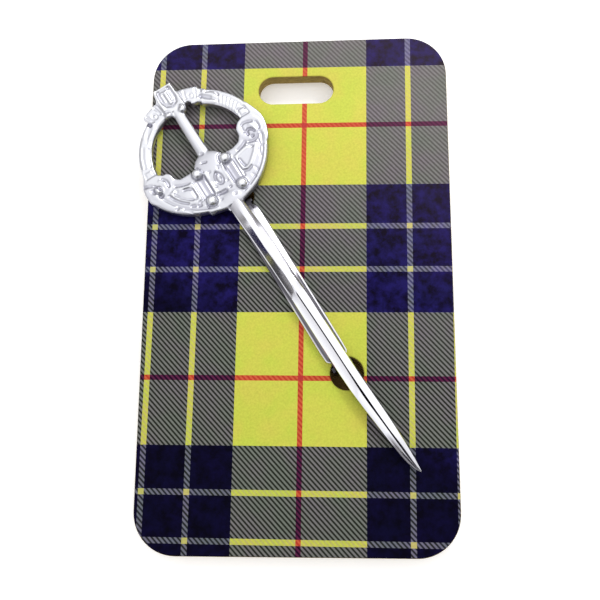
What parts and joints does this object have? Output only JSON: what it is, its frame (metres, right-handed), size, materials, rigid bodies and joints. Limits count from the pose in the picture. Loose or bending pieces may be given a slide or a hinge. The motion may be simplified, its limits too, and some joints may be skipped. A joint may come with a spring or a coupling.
{
  "type": "kilt pin on a display card",
  "caption": "Cast kilt pin with a round pierced head and a long blade, closed through a rounded tartan card with a hang slot.",
  "frame": {"origin": "under the middle of the whole thing, on the surface that it lies on", "axes": "+X to the card's right, +Y up the card towards its hang slot, +Z out of the printed face"},
  "size_m": [0.0618, 0.1024, 0.0093],
  "materials": {
    "printed_board": "printed tartan under a gloss coat, brown hardboard on the cut edges and the back",
    "plated_casting": "bright plated casting",
    "plated_bar": "bright plated steel strip",
    "steel_wire": "drawn steel wire"
  },
  "bodies": {
    "root": {"card": "printed_board", "pin_front": "plated_casting", "back_bar": "plated_bar", "needle": "steel_wire"}
  },
  "joints": []
}
